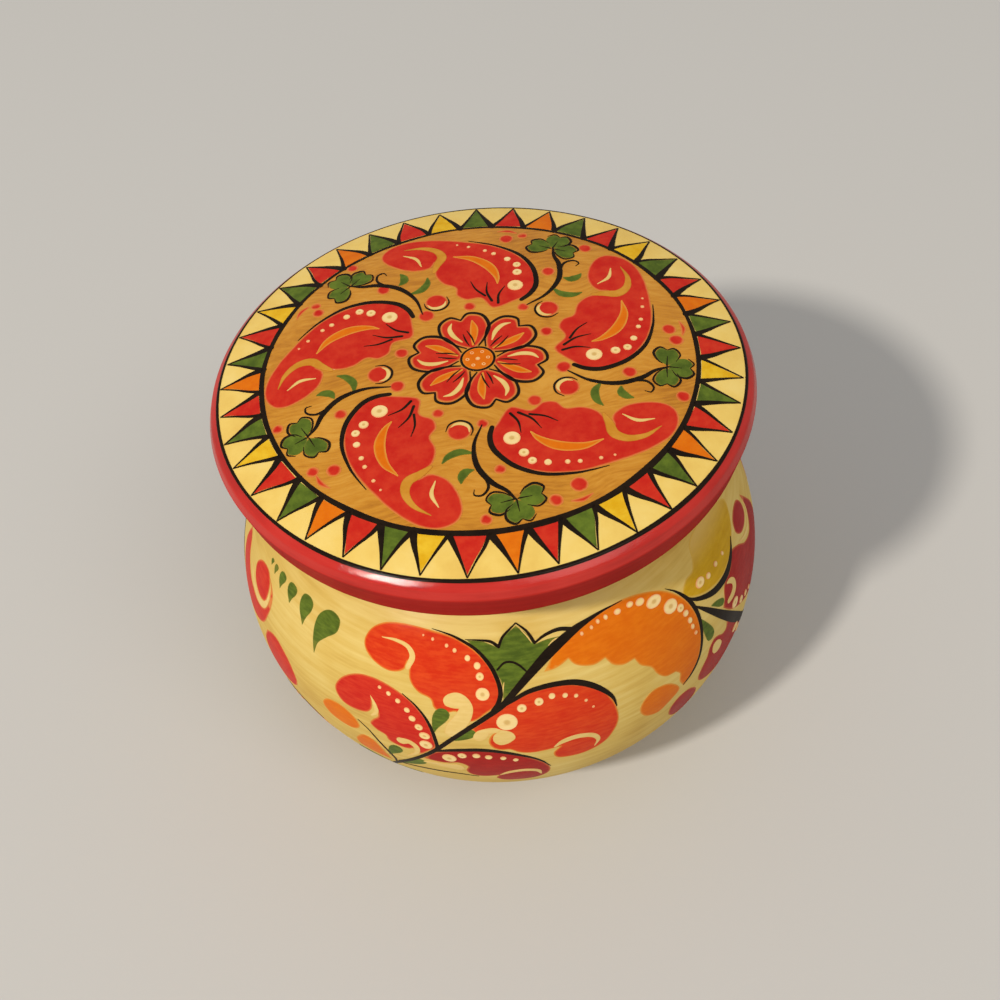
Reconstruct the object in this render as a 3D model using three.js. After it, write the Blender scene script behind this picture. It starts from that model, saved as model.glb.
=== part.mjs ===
// A turned wooden jar with a lift-off lid: a round-bellied bowl with a short neck,
// and a gently domed lid whose rounded edge stands out past the neck and whose
// spigot drops into the mouth. Millimetres, +Z up, the origin in the middle of the base.
import * as THREE from "three";

// Driving dimensions of the bowl, turned outside
const BOWL_HEIGHT = 68;
const BELLY_RADIUS = 49.1;
const BELLY_HEIGHT = 34;
const BASE_RADIUS = 29;
const BASE_EASE = 2.5;
const SHOULDER_INSET = 24;
const SHOULDER_HEIGHT = 63;
const NECK_RADIUS = 37;
const NECK_COVE = 2;
const RIM_EASE = 0.6;

// Driving dimensions of the bowl, turned inside
const MOUTH_RADIUS = 32.5;
const MOUTH_CHAMFER = 0.8;
const MOUTH_BORE_DEPTH = 14;
const BELLY_WALL = 6.5;
const FLOOR_THICKNESS = 7;
const FLOOR_FLAT_RADIUS = 16;

// Driving dimensions of the lid
const EDGE_THICKNESS = 9.3;
const TOP_RADIUS = 45;
const EDGE_RADIUS = 47;
const EDGE_CROWN_DEPTH = 4.3;
const UNDERSIDE_RADIUS = 43.2;
const DOME_RISE = 3;
const SPIGOT_LENGTH = 6;
const SPIGOT_WALL = 4.6;
const SPIGOT_LEAD_IN = 0.8;
const HOLLOW_DEPTH = 2.4;
const HOLLOW_RISE = 2.2;

// The dome falls away with this power of the radius, so its middle is nearly flat
const DOME_POWER = 4;

// Clearances between the lid and the bowl
const SEAT_GAP = 0.3;
const SPIGOT_CLEARANCE = 0.4;

// How finely the turned forms are cut into facets
const FACETS_ROUND = 72;
const FACETS_BELLY = 10;
const FACETS_SHOULDER = 8;
const FACETS_HOLLOW = 7;
const FACETS_SMALL_ARC = 3;
const FACETS_EDGE = 5;
const FACETS_DOME = 6;

const QUARTER_TURN = Math.PI / 2;
const EIGHTH_TURN = Math.PI / 4;

// Points of an arc of an oval about (centreR, centreZ), from one angle to another.
function ovalArc(centreR, centreZ, radiusR, radiusZ, from, to, facets) {
  const points = [];
  for (let i = 0; i <= facets; i++) {
    const angle = from + ((to - from) * i) / facets;
    const r = centreR + radiusR * Math.cos(angle);
    const z = centreZ + radiusZ * Math.sin(angle);
    points.push(new THREE.Vector2(r, z));
  }
  return points;
}

// One turned piece: the profile (radius, height), from axis to axis, spun about Z.
function turned(name, profile, material) {
  const geometry = new THREE.LatheGeometry(profile, FACETS_ROUND);
  geometry.rotateX(QUARTER_TURN);
  const mesh = new THREE.Mesh(geometry, material);
  mesh.name = name;
  return mesh;
}

const lacqueredIvory = new THREE.MeshStandardMaterial({
  color: 0xf0d690,
  roughness: 0.25,
  metalness: 0,
});
const lacqueredRed = new THREE.MeshStandardMaterial({
  color: 0xb8322a,
  roughness: 0.22,
  metalness: 0,
});

// How deep the oval of the belly's lower half would reach if the base plane didn't cut it.
function lowerReach(bellyRadius, bellyHeight, baseRadius) {
  return bellyHeight / Math.sqrt(1 - (baseRadius / bellyRadius) ** 2);
}

function makeBowl() {
  // The lower half of the belly is cut off by the base plane where it is as wide as the base
  const reach = lowerReach(BELLY_RADIUS, BELLY_HEIGHT, BASE_RADIUS);
  const easeHeight = (BASE_EASE * BELLY_HEIGHT) / reach / 2;
  const baseAngle = -Math.asin((BELLY_HEIGHT - easeHeight) / reach);
  const lowerBelly = ovalArc(0, BELLY_HEIGHT, BELLY_RADIUS, reach, baseAngle, 0, FACETS_BELLY);
  const corner = new THREE.QuadraticBezierCurve(
    new THREE.Vector2(BASE_RADIUS - BASE_EASE, 0),
    new THREE.Vector2(BASE_RADIUS, 0),
    lowerBelly[0],
  ).getPoints(FACETS_SMALL_ARC);

  // The shoulder rises to the foot of the neck, and a small cove leads into the neck
  const shoulderWidth = BELLY_RADIUS - SHOULDER_INSET;
  const coveFoot = NECK_RADIUS + NECK_COVE * (1 - Math.cos(EIGHTH_TURN));
  const shoulderAngle = Math.acos((coveFoot - SHOULDER_INSET) / shoulderWidth);
  const shoulder = ovalArc(
    SHOULDER_INSET,
    BELLY_HEIGHT,
    shoulderWidth,
    SHOULDER_HEIGHT - BELLY_HEIGHT,
    0,
    shoulderAngle,
    FACETS_SHOULDER,
  ).slice(1);
  const coveHeight = shoulder[shoulder.length - 1].y + NECK_COVE * Math.sin(EIGHTH_TURN);
  const cove = ovalArc(
    NECK_RADIUS + NECK_COVE,
    coveHeight,
    NECK_COVE,
    NECK_COVE,
    -3 * EIGHTH_TURN,
    -4 * EIGHTH_TURN,
    FACETS_SMALL_ARC,
  ).slice(1);
  const rim = ovalArc(
    NECK_RADIUS - RIM_EASE,
    BOWL_HEIGHT - RIM_EASE,
    RIM_EASE,
    RIM_EASE,
    0,
    QUARTER_TURN,
    FACETS_SMALL_ARC,
  );

  // Inside: chamfered mouth, straight bore, then the hollow that follows the belly
  const hollowRadius = BELLY_RADIUS - BELLY_WALL;
  const boreFoot = BOWL_HEIGHT - MOUTH_BORE_DEPTH;
  const upperHollowRise = boreFoot - BELLY_HEIGHT;
  const upperHollow = ovalArc(
    MOUTH_RADIUS,
    BELLY_HEIGHT,
    hollowRadius - MOUTH_RADIUS,
    upperHollowRise,
    QUARTER_TURN,
    0,
    FACETS_HOLLOW,
  );
  const lowerHollow = ovalArc(
    FLOOR_FLAT_RADIUS,
    BELLY_HEIGHT,
    hollowRadius - FLOOR_FLAT_RADIUS,
    BELLY_HEIGHT - FLOOR_THICKNESS,
    0,
    -QUARTER_TURN,
    FACETS_HOLLOW,
  ).slice(1);

  const profile = [
    new THREE.Vector2(0, 0),
    ...corner,
    ...lowerBelly.slice(1),
    ...shoulder,
    ...cove,
    ...rim,
    new THREE.Vector2(MOUTH_RADIUS + MOUTH_CHAMFER, BOWL_HEIGHT),
    new THREE.Vector2(MOUTH_RADIUS, BOWL_HEIGHT - MOUTH_CHAMFER),
    ...upperHollow,
    ...lowerHollow,
    new THREE.Vector2(0, FLOOR_THICKNESS),
  ];
  return turned("bowl", profile, lacqueredIvory);
}

function makeLid() {
  const underside = BOWL_HEIGHT + SEAT_GAP;
  const topEdge = underside + EDGE_THICKNESS;
  const widest = topEdge - EDGE_CROWN_DEPTH;
  const spigotRadius = MOUTH_RADIUS - SPIGOT_CLEARANCE;
  const spigotInner = spigotRadius - SPIGOT_WALL;
  const spigotEnd = underside - SPIGOT_LENGTH;
  const ceilingEdge = underside + HOLLOW_DEPTH;

  // The rounded edge: from the underside out to the widest place, and in again to the top
  const lowerEdge = ovalArc(
    UNDERSIDE_RADIUS,
    widest,
    EDGE_RADIUS - UNDERSIDE_RADIUS,
    EDGE_THICKNESS - EDGE_CROWN_DEPTH,
    -QUARTER_TURN,
    0,
    FACETS_EDGE,
  );
  const upperEdge = ovalArc(
    TOP_RADIUS,
    widest,
    EDGE_RADIUS - TOP_RADIUS,
    EDGE_CROWN_DEPTH,
    0,
    QUARTER_TURN,
    FACETS_EDGE,
  ).slice(1);

  // The dome, from the edge of the top in to the crown
  const dome = [];
  for (let i = 1; i <= FACETS_DOME; i++) {
    const share = Math.cos((QUARTER_TURN * i) / FACETS_DOME);
    const radiusShare = i === FACETS_DOME ? 0 : share;
    const fall = DOME_RISE * radiusShare ** DOME_POWER;
    dome.push(new THREE.Vector2(TOP_RADIUS * radiusShare, topEdge + DOME_RISE - fall));
  }

  // The hollow under the dome
  const ceiling = ovalArc(
    0,
    ceilingEdge,
    spigotInner,
    HOLLOW_RISE,
    QUARTER_TURN,
    0,
    FACETS_EDGE,
  );
  ceiling[0].x = 0;

  const profile = [
    ...ceiling,
    new THREE.Vector2(spigotInner, spigotEnd),
    new THREE.Vector2(spigotRadius - SPIGOT_LEAD_IN, spigotEnd),
    new THREE.Vector2(spigotRadius, spigotEnd + SPIGOT_LEAD_IN),
    new THREE.Vector2(spigotRadius, underside),
    ...lowerEdge,
    ...upperEdge,
    ...dome,
  ];
  return turned("lid", profile, lacqueredRed);
}

const jar = new THREE.Group();
jar.add(makeBowl(), makeLid());

export default jar;
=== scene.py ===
import math
import random

import bpy
import numpy as np
from mathutils import Matrix, Vector
from mathutils.geometry import delaunay_2d_cdt


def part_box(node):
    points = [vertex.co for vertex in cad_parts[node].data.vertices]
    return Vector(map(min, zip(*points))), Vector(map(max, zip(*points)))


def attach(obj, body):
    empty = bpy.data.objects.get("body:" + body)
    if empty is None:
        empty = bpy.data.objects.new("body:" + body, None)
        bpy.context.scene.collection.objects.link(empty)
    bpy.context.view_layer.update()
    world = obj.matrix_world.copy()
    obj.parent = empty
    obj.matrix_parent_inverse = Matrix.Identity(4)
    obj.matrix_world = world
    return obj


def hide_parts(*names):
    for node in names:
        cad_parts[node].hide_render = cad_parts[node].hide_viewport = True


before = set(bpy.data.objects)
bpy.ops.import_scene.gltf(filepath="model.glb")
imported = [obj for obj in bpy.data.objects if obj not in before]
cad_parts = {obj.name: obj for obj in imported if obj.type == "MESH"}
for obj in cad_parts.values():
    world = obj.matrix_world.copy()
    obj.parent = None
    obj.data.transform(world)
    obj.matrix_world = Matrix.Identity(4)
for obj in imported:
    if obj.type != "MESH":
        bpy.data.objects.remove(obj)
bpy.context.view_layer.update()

MM = 0.001
BOWL_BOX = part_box("bowl")
LID_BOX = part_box("lid")

# The bowl's turned sizes
BELLY_RADIUS = BOWL_BOX[1].x / MM
BOWL_HEIGHT = BOWL_BOX[1].z / MM
BELLY_HEIGHT = 34
BASE_RADIUS = 29
BASE_EASE = 2.5
SHOULDER_INSET = 24
SHOULDER_HEIGHT = 63
NECK_RADIUS = 37
NECK_COVE = 2
RIM_EASE = 0.6
MOUTH_RADIUS = 32.5
MOUTH_CHAMFER = 0.8
MOUTH_BORE_DEPTH = 14
BELLY_WALL = 6.5
FLOOR_THICKNESS = 7
FLOOR_FLAT_RADIUS = 16

# The lid's turned sizes
EDGE_RADIUS = LID_BOX[1].x / MM
CROWN_HEIGHT = LID_BOX[1].z / MM
SPIGOT_END = LID_BOX[0].z / MM
DOME_RISE = 3
DOME_POWER = 4
TOP_RADIUS = 45
TOP_EASE_WIDTH = 0.15
TOP_EASE_DROP = 0.09
TOP_EASE_PULL = 0.1
EDGE_THICKNESS = 9.3
UNDERSIDE_RADIUS = 43.2
BEVEL_WIDTH = 1.2
BEVEL_DROP = 0.98
ARRIS_DEPTH = 2.9
UNDERCUT = 1.25
UNDERCUT_PULL = 0.3
EDGE_ROUND = 1.5
SPIGOT_RADIUS = 32.1
SPIGOT_WALL = 4.6
SPIGOT_LEAD_IN = 0.8
HOLLOW_DEPTH = 2.4
HOLLOW_RISE = 2.2
TOP_EDGE = CROWN_HEIGHT - DOME_RISE
UNDERSIDE = TOP_EDGE - EDGE_THICKNESS

# How far out and down from its top the bevel's middle lies, as shares of its width and its drop
BEVEL_SHARES = (0.54, 0.44)

# The wood lies this far inside its turned size, so that the raised drops of paint stay within it
PAINT_ROOM = 0.22

# How high each coat of paint lies over the one before it, and how deep its foot goes into the wood
COAT_STEP = 0.016
COAT_FOOT = 0.03

# A raised drop's height, its middle's share of that, and its rings' shares of its width and of that height
DROP_RISE = 0.1
DROP_MIDDLE = 0.3
DROP_RINGS = ((0.22, 0.4), (0.42, 0.75), (0.62, 1), (0.82, 0.85), (1, 0))

# The least size of a drop that stands at full height, is pale to its edge, and dries with a dimple
FULL_DROP = 1.2
PALE_DROP = 1.1
DIMPLED_DROP = 1.4

# How finely the turned forms are cut
ROUND_STEPS = 320
CORNER_FACETS = 8
RIM_FACETS = 6
BAND_POINTS = 9
DOME_RINGS = 46
CREASE_DEGREES = 38
SAME_POINT = 0.0001

# How finely the paint is cut: the step along its edges and lines, and the step between the points that fill
# a leaf, whose rows lie closer by one share and keep clear of its edge by the other
LINE_STEP = 0.45
FILL_STEP = 0.9
ROW_SHARE = 0.87
CLEAR_SHARE = 0.4
DROP_SPOKES = 22

# A brush line's points across it as shares of half its width, its least width, the width from which its ends
# are round, and the angles of those round ends
LINE_SHARES = (-1, -0.5, 0, 0.5, 1)
THINNEST_LINE = 0.06
ROUND_ENDED_LINE = 0.3
END_ANGLES = np.radians((34, 62, 84))

# A hand-drawn ring sways and swells in these many waves a turn, which start anywhere within these phases, in
# radians. It swells by this share of its width.
RING_WAVES = (2, 3, 5, 9, 14, 23)
RING_PHASES = (0, 6.28)
SWELL_SHARE = 0.22

# How many points of the lid's edge the painted top runs on over, and where the painted rings lie on it
TOP_OVERLAP = 8
MEDALLION_RADIUS = 37.1
BORDER_RADIUS = 44.9

QUARTER = math.pi / 2


# Curves in the plane


def smooth(points, closed=False, corners=()):
    """Points a step apart on a smooth curve through the given ones, which may turn sharply at corners."""
    given = np.array(points, float)
    count = len(given)
    made = []
    for i in range(count if closed else count - 1):
        a, b = given[i], given[(i + 1) % count]
        starts = i in corners or (not closed and i == 0)
        ends = (i + 1) % count in corners or (not closed and i == count - 2)
        before = 2 * a - b if starts else given[i - 1]
        after = 2 * b - a if ends else given[(i + 2) % count]
        pairs = ((before, a), (a, b), (b, after))
        gaps = [max(np.linalg.norm(q[:2] - p[:2]), 1e-6) ** 0.5 for p, q in pairs]
        leave = ((a - before) / gaps[0] - (b - before) / (gaps[0] + gaps[1]) + (b - a) / gaps[1]) * gaps[1]
        arrive = ((b - a) / gaps[1] - (after - a) / (gaps[1] + gaps[2]) + (after - b) / gaps[2]) * gaps[1]
        steps = max(2, math.ceil(np.linalg.norm(b[:2] - a[:2]) / LINE_STEP))
        for t in np.arange(steps) / steps:
            part = (2 * t**3 - 3 * t**2 + 1) * a + (t**3 - 2 * t**2 + t) * leave
            made.append(part + (3 * t**2 - 2 * t**3) * b + (t**3 - t**2) * arrive)
    if not closed:
        made.append(given[-1])
    return np.array(made)


def oval_arc(centre_r, centre_z, radius_r, radius_z, start, end, facets):
    """Points of an arc of an oval, from one angle to another."""
    angles = np.linspace(start, end, facets + 1)
    return np.c_[centre_r + radius_r * np.cos(angles), centre_z + radius_z * np.sin(angles)]


def bezier(a, b, c, facets):
    """Points of a quadratic curve from a to c that leaves and arrives towards b."""
    t = np.linspace(0, 1, facets + 1)[:, None]
    return (1 - t) ** 2 * np.array(a) + 2 * t * (1 - t) * np.array(b) + t**2 * np.array(c)


def polar(radius, degrees):
    """A point from its radius and its angle, anticlockwise from the right."""
    return (radius * math.cos(math.radians(degrees)), radius * math.sin(math.radians(degrees)))


def turning(degrees):
    """The matrix that turns flat points anticlockwise."""
    c, s = polar(1, degrees)
    return np.array(((c, s), (-s, c)))


def edge_distance(points, outline):
    """How far each point lies from a closed outline."""
    a, b = outline, np.roll(outline, -1, axis=0)
    along = b - a
    share = ((points[:, None] - a) * along).sum(2) / np.maximum((along**2).sum(1), 1e-12)
    nearest = a + np.clip(share, 0, 1)[..., None] * along
    return np.linalg.norm(points[:, None] - nearest, axis=2).min(1)


def inside(points, outline):
    """Which points lie inside a closed outline."""
    a, b = outline, np.roll(outline, -1, axis=0)
    x, y = points[:, 0][:, None], points[:, 1][:, None]
    crosses = (a[:, 1] > y) != (b[:, 1] > y)
    height = np.where(b[:, 1] == a[:, 1], 1e-12, b[:, 1] - a[:, 1])
    left = x < a[:, 0] + (y - a[:, 1]) / height * (b[:, 0] - a[:, 0])
    return (crosses & left).sum(1) % 2 == 1


# The two painted surfaces, laid flat


class Side:
    """The bowl's outside: x runs round the belly and y up it, both from the front of its widest line."""

    def __init__(self, profile):
        self.profile = profile
        run = np.r_[0, np.cumsum(np.hypot(*np.diff(profile, axis=0).T))]
        self.run = run - np.interp(BELLY_HEIGHT, profile[:, 1], run)
        slope = np.gradient(profile, self.run, axis=0)
        self.slope = slope / np.linalg.norm(slope, axis=1)[:, None]

    def normals(self, flat):
        angle = flat[:, 0] / BELLY_RADIUS
        out = np.interp(flat[:, 1], self.run, self.slope[:, 1])
        up = -np.interp(flat[:, 1], self.run, self.slope[:, 0])
        return np.c_[out * np.sin(angle), -out * np.cos(angle), up]

    def place(self, flat, lift):
        angle = flat[:, 0] / BELLY_RADIUS
        r = np.interp(flat[:, 1], self.run, self.profile[:, 0])
        z = np.interp(flat[:, 1], self.run, self.profile[:, 1])
        points = np.c_[r * np.sin(angle), -r * np.cos(angle), z]
        return points + self.normals(flat) * np.reshape(lift, (-1, 1))


class Top:
    """The lid's top seen from above: x to the right and y to the back, from its middle."""

    def __init__(self, profile):
        order = np.argsort(profile[:, 0])
        self.radius, self.height = profile[order].T
        self.slope = np.gradient(self.height, self.radius)

    def normals(self, flat):
        r = np.maximum(np.hypot(flat[:, 0], flat[:, 1]), 1e-6)
        slope = np.interp(r, self.radius, self.slope)
        normal = np.c_[-slope * flat[:, 0] / r, -slope * flat[:, 1] / r, np.ones(len(flat))]
        return normal / np.linalg.norm(normal, axis=1)[:, None]

    def place(self, flat, lift):
        r = np.hypot(flat[:, 0], flat[:, 1])
        points = np.c_[flat, np.interp(r, self.radius, self.height)]
        return points + self.normals(flat) * np.reshape(lift, (-1, 1))


# Meshes


def new_object(name, data):
    """An object with this data, linked to the scene."""
    made = bpy.data.objects.new(name, data)
    bpy.context.scene.collection.objects.link(made)
    return made


def mesh_piece(name, points, faces, materials, body):
    """A mesh object, from points in millimetres, that rides on a body."""
    mesh = bpy.data.meshes.new(name)
    mesh.from_pydata((np.array(points) * MM).tolist(), [], faces)
    for material in materials:
        mesh.materials.append(material)
    mesh.shade_smooth()
    piece = new_object(name, mesh)
    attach(piece, body)
    return piece


def turned(name, stretches, materials, body):
    """A turned piece: stretches of profile from axis to axis, each with the number of its material."""
    profile, kinds = [], []
    for points, kind in stretches:
        for point in points:
            if not profile or np.linalg.norm(np.subtract(point, profile[-1])) > SAME_POINT:
                profile.append(tuple(point))
                kinds.append(kind)
    angles = np.arange(ROUND_STEPS) / ROUND_STEPS * math.tau
    points = [(0, 0, profile[0][1])]
    for r, z in profile[1:-1]:
        points.extend(np.c_[r * np.sin(angles), -r * np.cos(angles), np.full(ROUND_STEPS, z)].tolist())
    points.append((0, 0, profile[-1][1]))
    last = len(points) - 1
    faces, face_kinds = [], []
    rings = len(profile) - 2
    for i in range(ROUND_STEPS):
        j = (i + 1) % ROUND_STEPS
        faces.append((0, 1 + j, 1 + i))
        face_kinds.append(kinds[1])
        for k in range(rings - 1):
            low, high = 1 + k * ROUND_STEPS, 1 + (k + 1) * ROUND_STEPS
            faces.append((low + i, low + j, high + j, high + i))
            face_kinds.append(kinds[k + 2])
        low = 1 + (rings - 1) * ROUND_STEPS
        faces.append((low + i, low + j, last))
        face_kinds.append(kinds[-1])
    piece = mesh_piece(name, points, faces, materials, body)
    piece.data.polygons.foreach_set("material_index", face_kinds)
    piece.data.set_sharp_from_angle(angle=math.radians(CREASE_DEGREES))
    return piece


class Coat:
    """One colour of paint on one surface. Each stroke adds a closed flake to its mesh."""

    def __init__(self, name, surface, material, layer):
        self.name, self.surface, self.material = name, surface, material
        self.lift = layer * COAT_STEP
        self.points, self.faces, self.normals, self.rims, self.tones = [], [], [], [], []

    def flake(self, flat, faces, rim, rise=0, tone=None):
        """Adds a flake: flat points and faces, with each point's distance from the edge, rise and tone."""
        first, count = len(self.rims), len(flat)
        top = self.surface.place(flat, self.lift + np.broadcast_to(rise, count))
        foot = self.surface.place(flat, -COAT_FOOT)
        up = self.surface.normals(flat)
        self.points.extend([*top.tolist(), *foot.tolist()])
        self.rims.extend([*rim, *rim])
        tone = np.full(count, 0.5) if tone is None else tone
        self.tones.extend([*tone, *tone])
        edges = {(f[k - 1], f[k]) for f in faces for k in range(len(f))}
        for f in faces:
            self.faces.append([first + v for v in f])
            self.normals.extend(up[v] for v in f)
            self.faces.append([first + count + v for v in reversed(f)])
            self.normals.extend(-up[v] for v in reversed(f))
        for a, b in edges:
            if (b, a) not in edges:
                self.faces.append([first + b, first + a, first + count + a, first + count + b])
                out = np.cross(top[b] - top[a], up[a])
                self.normals.extend([out / max(np.linalg.norm(out), 1e-9)] * 4)

    def leaf(self, outline, corners=(), tone_from=None, tone_to=None, soft=True):
        """Fills a closed outline. Its tone runs from one point to another, and its edge is soft or crisp."""
        edge = smooth(outline, closed=True, corners=corners)
        area = (edge[:, 0] * np.roll(edge[:, 1], -1) - edge[:, 1] * np.roll(edge[:, 0], -1)).sum()
        if area < 0:
            edge = edge[::-1]
        low, high = edge.min(0), edge.max(0)
        rows = np.arange(low[1], high[1], FILL_STEP * ROW_SHARE)
        columns = np.arange(low[0], high[0], FILL_STEP)
        grid = np.array([(x + k % 2 * FILL_STEP / 2, y) for k, y in enumerate(rows) for x in columns])
        grid = grid[inside(grid, edge)]
        if len(grid):
            grid = grid[edge_distance(grid, edge) > FILL_STEP * CLEAR_SHARE]
        flat = np.r_[edge, grid.reshape(-1, 2)]
        loop = [(i, (i + 1) % len(edge)) for i in range(len(edge))]
        found = delaunay_2d_cdt([Vector(p) for p in flat], loop, [], 1, 1e-6)
        flat = np.array([tuple(p) for p in found[0]])
        rim = edge_distance(flat, edge) if soft else np.ones(len(flat))
        tone = None
        if tone_from is not None:
            along = np.subtract(tone_to, tone_from)
            tone = np.clip((flat - tone_from) @ along / (along @ along), 0, 1)
        faces = []
        for f in found[2]:
            (ax, ay), (bx, by), (cx, cy) = (flat[v] for v in f[:3])
            turns_left = (bx - ax) * (cy - ay) > (by - ay) * (cx - ax)
            faces.append(list(f) if turns_left else list(reversed(f)))
        self.flake(flat, faces, rim, tone=tone)

    def line(self, rows, closed=False):
        """Adds a line of paint, from rows of a point, the width there and the way to the line's left."""
        flat, rim, faces = [], [], []
        for k, (point, width, left) in enumerate(rows):
            for n, share in enumerate(LINE_SHARES):
                flat.append(point + left * share * width / 2)
                rim.append(width / 2 * (1 - abs(share)))
                if n and (k or closed):
                    here, before = k * len(LINE_SHARES) + n, (k - 1) % len(rows) * len(LINE_SHARES) + n
                    faces.append((here - 1, here, before, before - 1))
        self.flake(np.array(flat), faces, np.array(rim))

    def stroke(self, path):
        """A brush stroke along a smooth path of x, y and width, with round ends where it is wide."""
        curve = smooth(path)
        widths = np.maximum(curve[:, 2], THINNEST_LINE)
        along = np.gradient(curve[:, :2], axis=0)
        along /= np.maximum(np.linalg.norm(along, axis=1), 1e-9)[:, None]
        rows = list(zip(curve[:, :2], widths, along))
        for end, way in ((0, -1), (-1, 1)):
            p, w, d = rows[end]
            if w > ROUND_ENDED_LINE:
                cap = [(p + way * d * w / 2 * math.sin(t), w * math.cos(t), d) for t in END_ANGLES]
                rows = rows + cap if way > 0 else cap[::-1] + rows
        self.line([(p, w, np.array((-d[1], d[0]))) for p, w, d in rows])

    def ring(self, radius, width, wobble, seed, front=0):
        """A closed line round the middle, a little uneven as a hand draws it, and heavier at the front."""
        draw = random.Random(seed)
        waves = [(n, draw.uniform(-1, 1), draw.uniform(*RING_PHASES)) for n in RING_WAVES]
        angles = np.arange(ROUND_STEPS) / ROUND_STEPS * math.tau
        sway = sum(a * np.sin(n * angles + p) / n**0.5 for n, a, p in waves)
        swell = sum(a * np.sin(n * angles + 2 * p) / n**0.5 for n, a, p in waves)
        rows = []
        for k, t in enumerate(angles):
            out = np.array((math.cos(t), math.sin(t)))
            heavy = (width - front * math.sin(t)) * (1 + SWELL_SHARE * swell[k])
            rows.append((out * (radius + wobble * sway[k]), heavy, -out))
        self.line(rows, closed=True)

    def drop(self, x, y, wide, tall, turn=0):
        """A raised drop of paint with a soft dimple, as the tip of a stick leaves it."""
        size = min(wide, tall)
        flat, rise, inward, faces = [(0, 0)], [DROP_MIDDLE], [1], []
        for k, (share, high) in enumerate(DROP_RINGS):
            for n in range(DROP_SPOKES):
                t = math.tau * n / DROP_SPOKES
                flat.append((wide / 2 * share * math.cos(t), tall / 2 * share * math.sin(t)))
                rise.append(high)
                inward.append(1 - share)
                here, side = 1 + k * DROP_SPOKES + n, 1 + k * DROP_SPOKES + (n + 1) % DROP_SPOKES
                faces.append((here - DROP_SPOKES, here, side, side - DROP_SPOKES) if k else (0, here, side))
        flat = np.array(flat) @ turning(turn) + (x, y)
        rise = np.array(rise) * DROP_RISE * min(1, size / FULL_DROP)
        inward = np.array(inward)
        rim = inward * size / 2 * min(1, size / PALE_DROP)
        self.flake(flat, faces, rim, rise, inward if size > DIMPLED_DROP else None)

    def make(self, body, slot):
        """Makes the coat's mesh."""
        piece = mesh_piece(self.name, self.points, self.faces, [self.material], body)
        for name, values in (("rim", self.rims), ("tone", self.tones)):
            piece.data.attributes.new(name, "FLOAT", "POINT").data.foreach_set("value", values)
        piece.data.normals_split_custom_set(self.normals)


# Materials


# The sockets of a colour Mix node, whose names it shares with its sockets for other kinds of value
FACTOR, COLOUR_A, COLOUR_B, COLOUR_OUT = 0, 6, 7, 2


def srgb(code):
    """A hex colour as the linear one that the shaders take."""
    parts = [int(code[i : i + 2], 16) / 255 for i in (1, 3, 5)]
    return (*[p / 12.92 if p <= 0.04045 else ((p + 0.055) / 1.055) ** 2.4 for p in parts], 1)


def empty_tree(owner):
    """The node tree of a new material or world, with nothing in it."""
    owner.use_nodes = True
    owner.node_tree.nodes.clear()
    return owner.node_tree


def add(tree, kind, inputs=None, stops=(), **settings):
    """Adds a shader node with its settings, and sets or links its sockets."""
    node = tree.nodes.new("ShaderNode" + kind)
    for name, value in settings.items():
        setattr(node, name, value)
    for name, value in (inputs or {}).items():
        if isinstance(value, bpy.types.NodeSocket):
            tree.links.new(value, node.inputs[name])
        else:
            node.inputs[name].default_value = value
    for i, (place, colour) in enumerate(stops):
        if i == len(node.color_ramp.elements):
            node.color_ramp.elements.new(place)
        node.color_ramp.elements[i].position = place
        node.color_ramp.elements[i].color = srgb(colour)
    return node


def blend(tree, value, start, end, first, second, **settings):
    """A colour that passes from the first to the second as a value goes from start to end."""
    inputs = {"Value": value, "From Min": start, "From Max": end}
    share = add(tree, "MapRange", inputs, interpolation_type="SMOOTHSTEP").outputs[0]
    inputs = {FACTOR: share, COLOUR_A: first, COLOUR_B: second}
    return add(tree, "Mix", inputs, data_type="RGBA", **settings).outputs[COLOUR_OUT]


# Every pattern is placed in millimetres, so its Scale is how many of its marks come in a millimetre, and its
# stretch squeezes them along x, y and z: less than 1 draws them out


def lacquered(name, roughness, coat, gloss):
    """A material under clear lacquer, with the faint ripple that brushed lacquer dries to."""
    material = bpy.data.materials.new(name)
    tree = empty_tree(material)
    metres = add(tree, "TexCoord").outputs["Object"]
    place = add(tree, "VectorMath", {0: metres, "Scale": 1 / MM}, operation="SCALE").outputs[0]
    ripple = add(tree, "TexNoise", {"Vector": place, "Scale": 0.3, "Detail": 8, "Roughness": 0.72})
    skin = add(tree, "Bump", {"Height": ripple.outputs[0], "Strength": 1, "Distance": 0.075 * MM})
    shader = add(tree, "BsdfPrincipled", {
        "Roughness": roughness,
        "Specular IOR Level": 0,
        "Coat Weight": coat,
        "Coat Roughness": gloss,
        "Coat IOR": 1.5,
        "Coat Normal": skin.outputs[0],
    })
    add(tree, "OutputMaterial", {"Surface": shader.outputs[0]})
    return material, tree, place, shader


def cover(tree, shader, colour, height, strength, depth):
    """Gives a shader its colour, and a relief from its pattern's height, so many millimetres deep."""
    tree.links.new(colour, shader.inputs["Base Color"])
    relief = add(tree, "Bump", {"Height": height, "Strength": strength, "Distance": depth * MM}).outputs[0]
    tree.links.new(relief, shader.inputs["Normal"])


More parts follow.
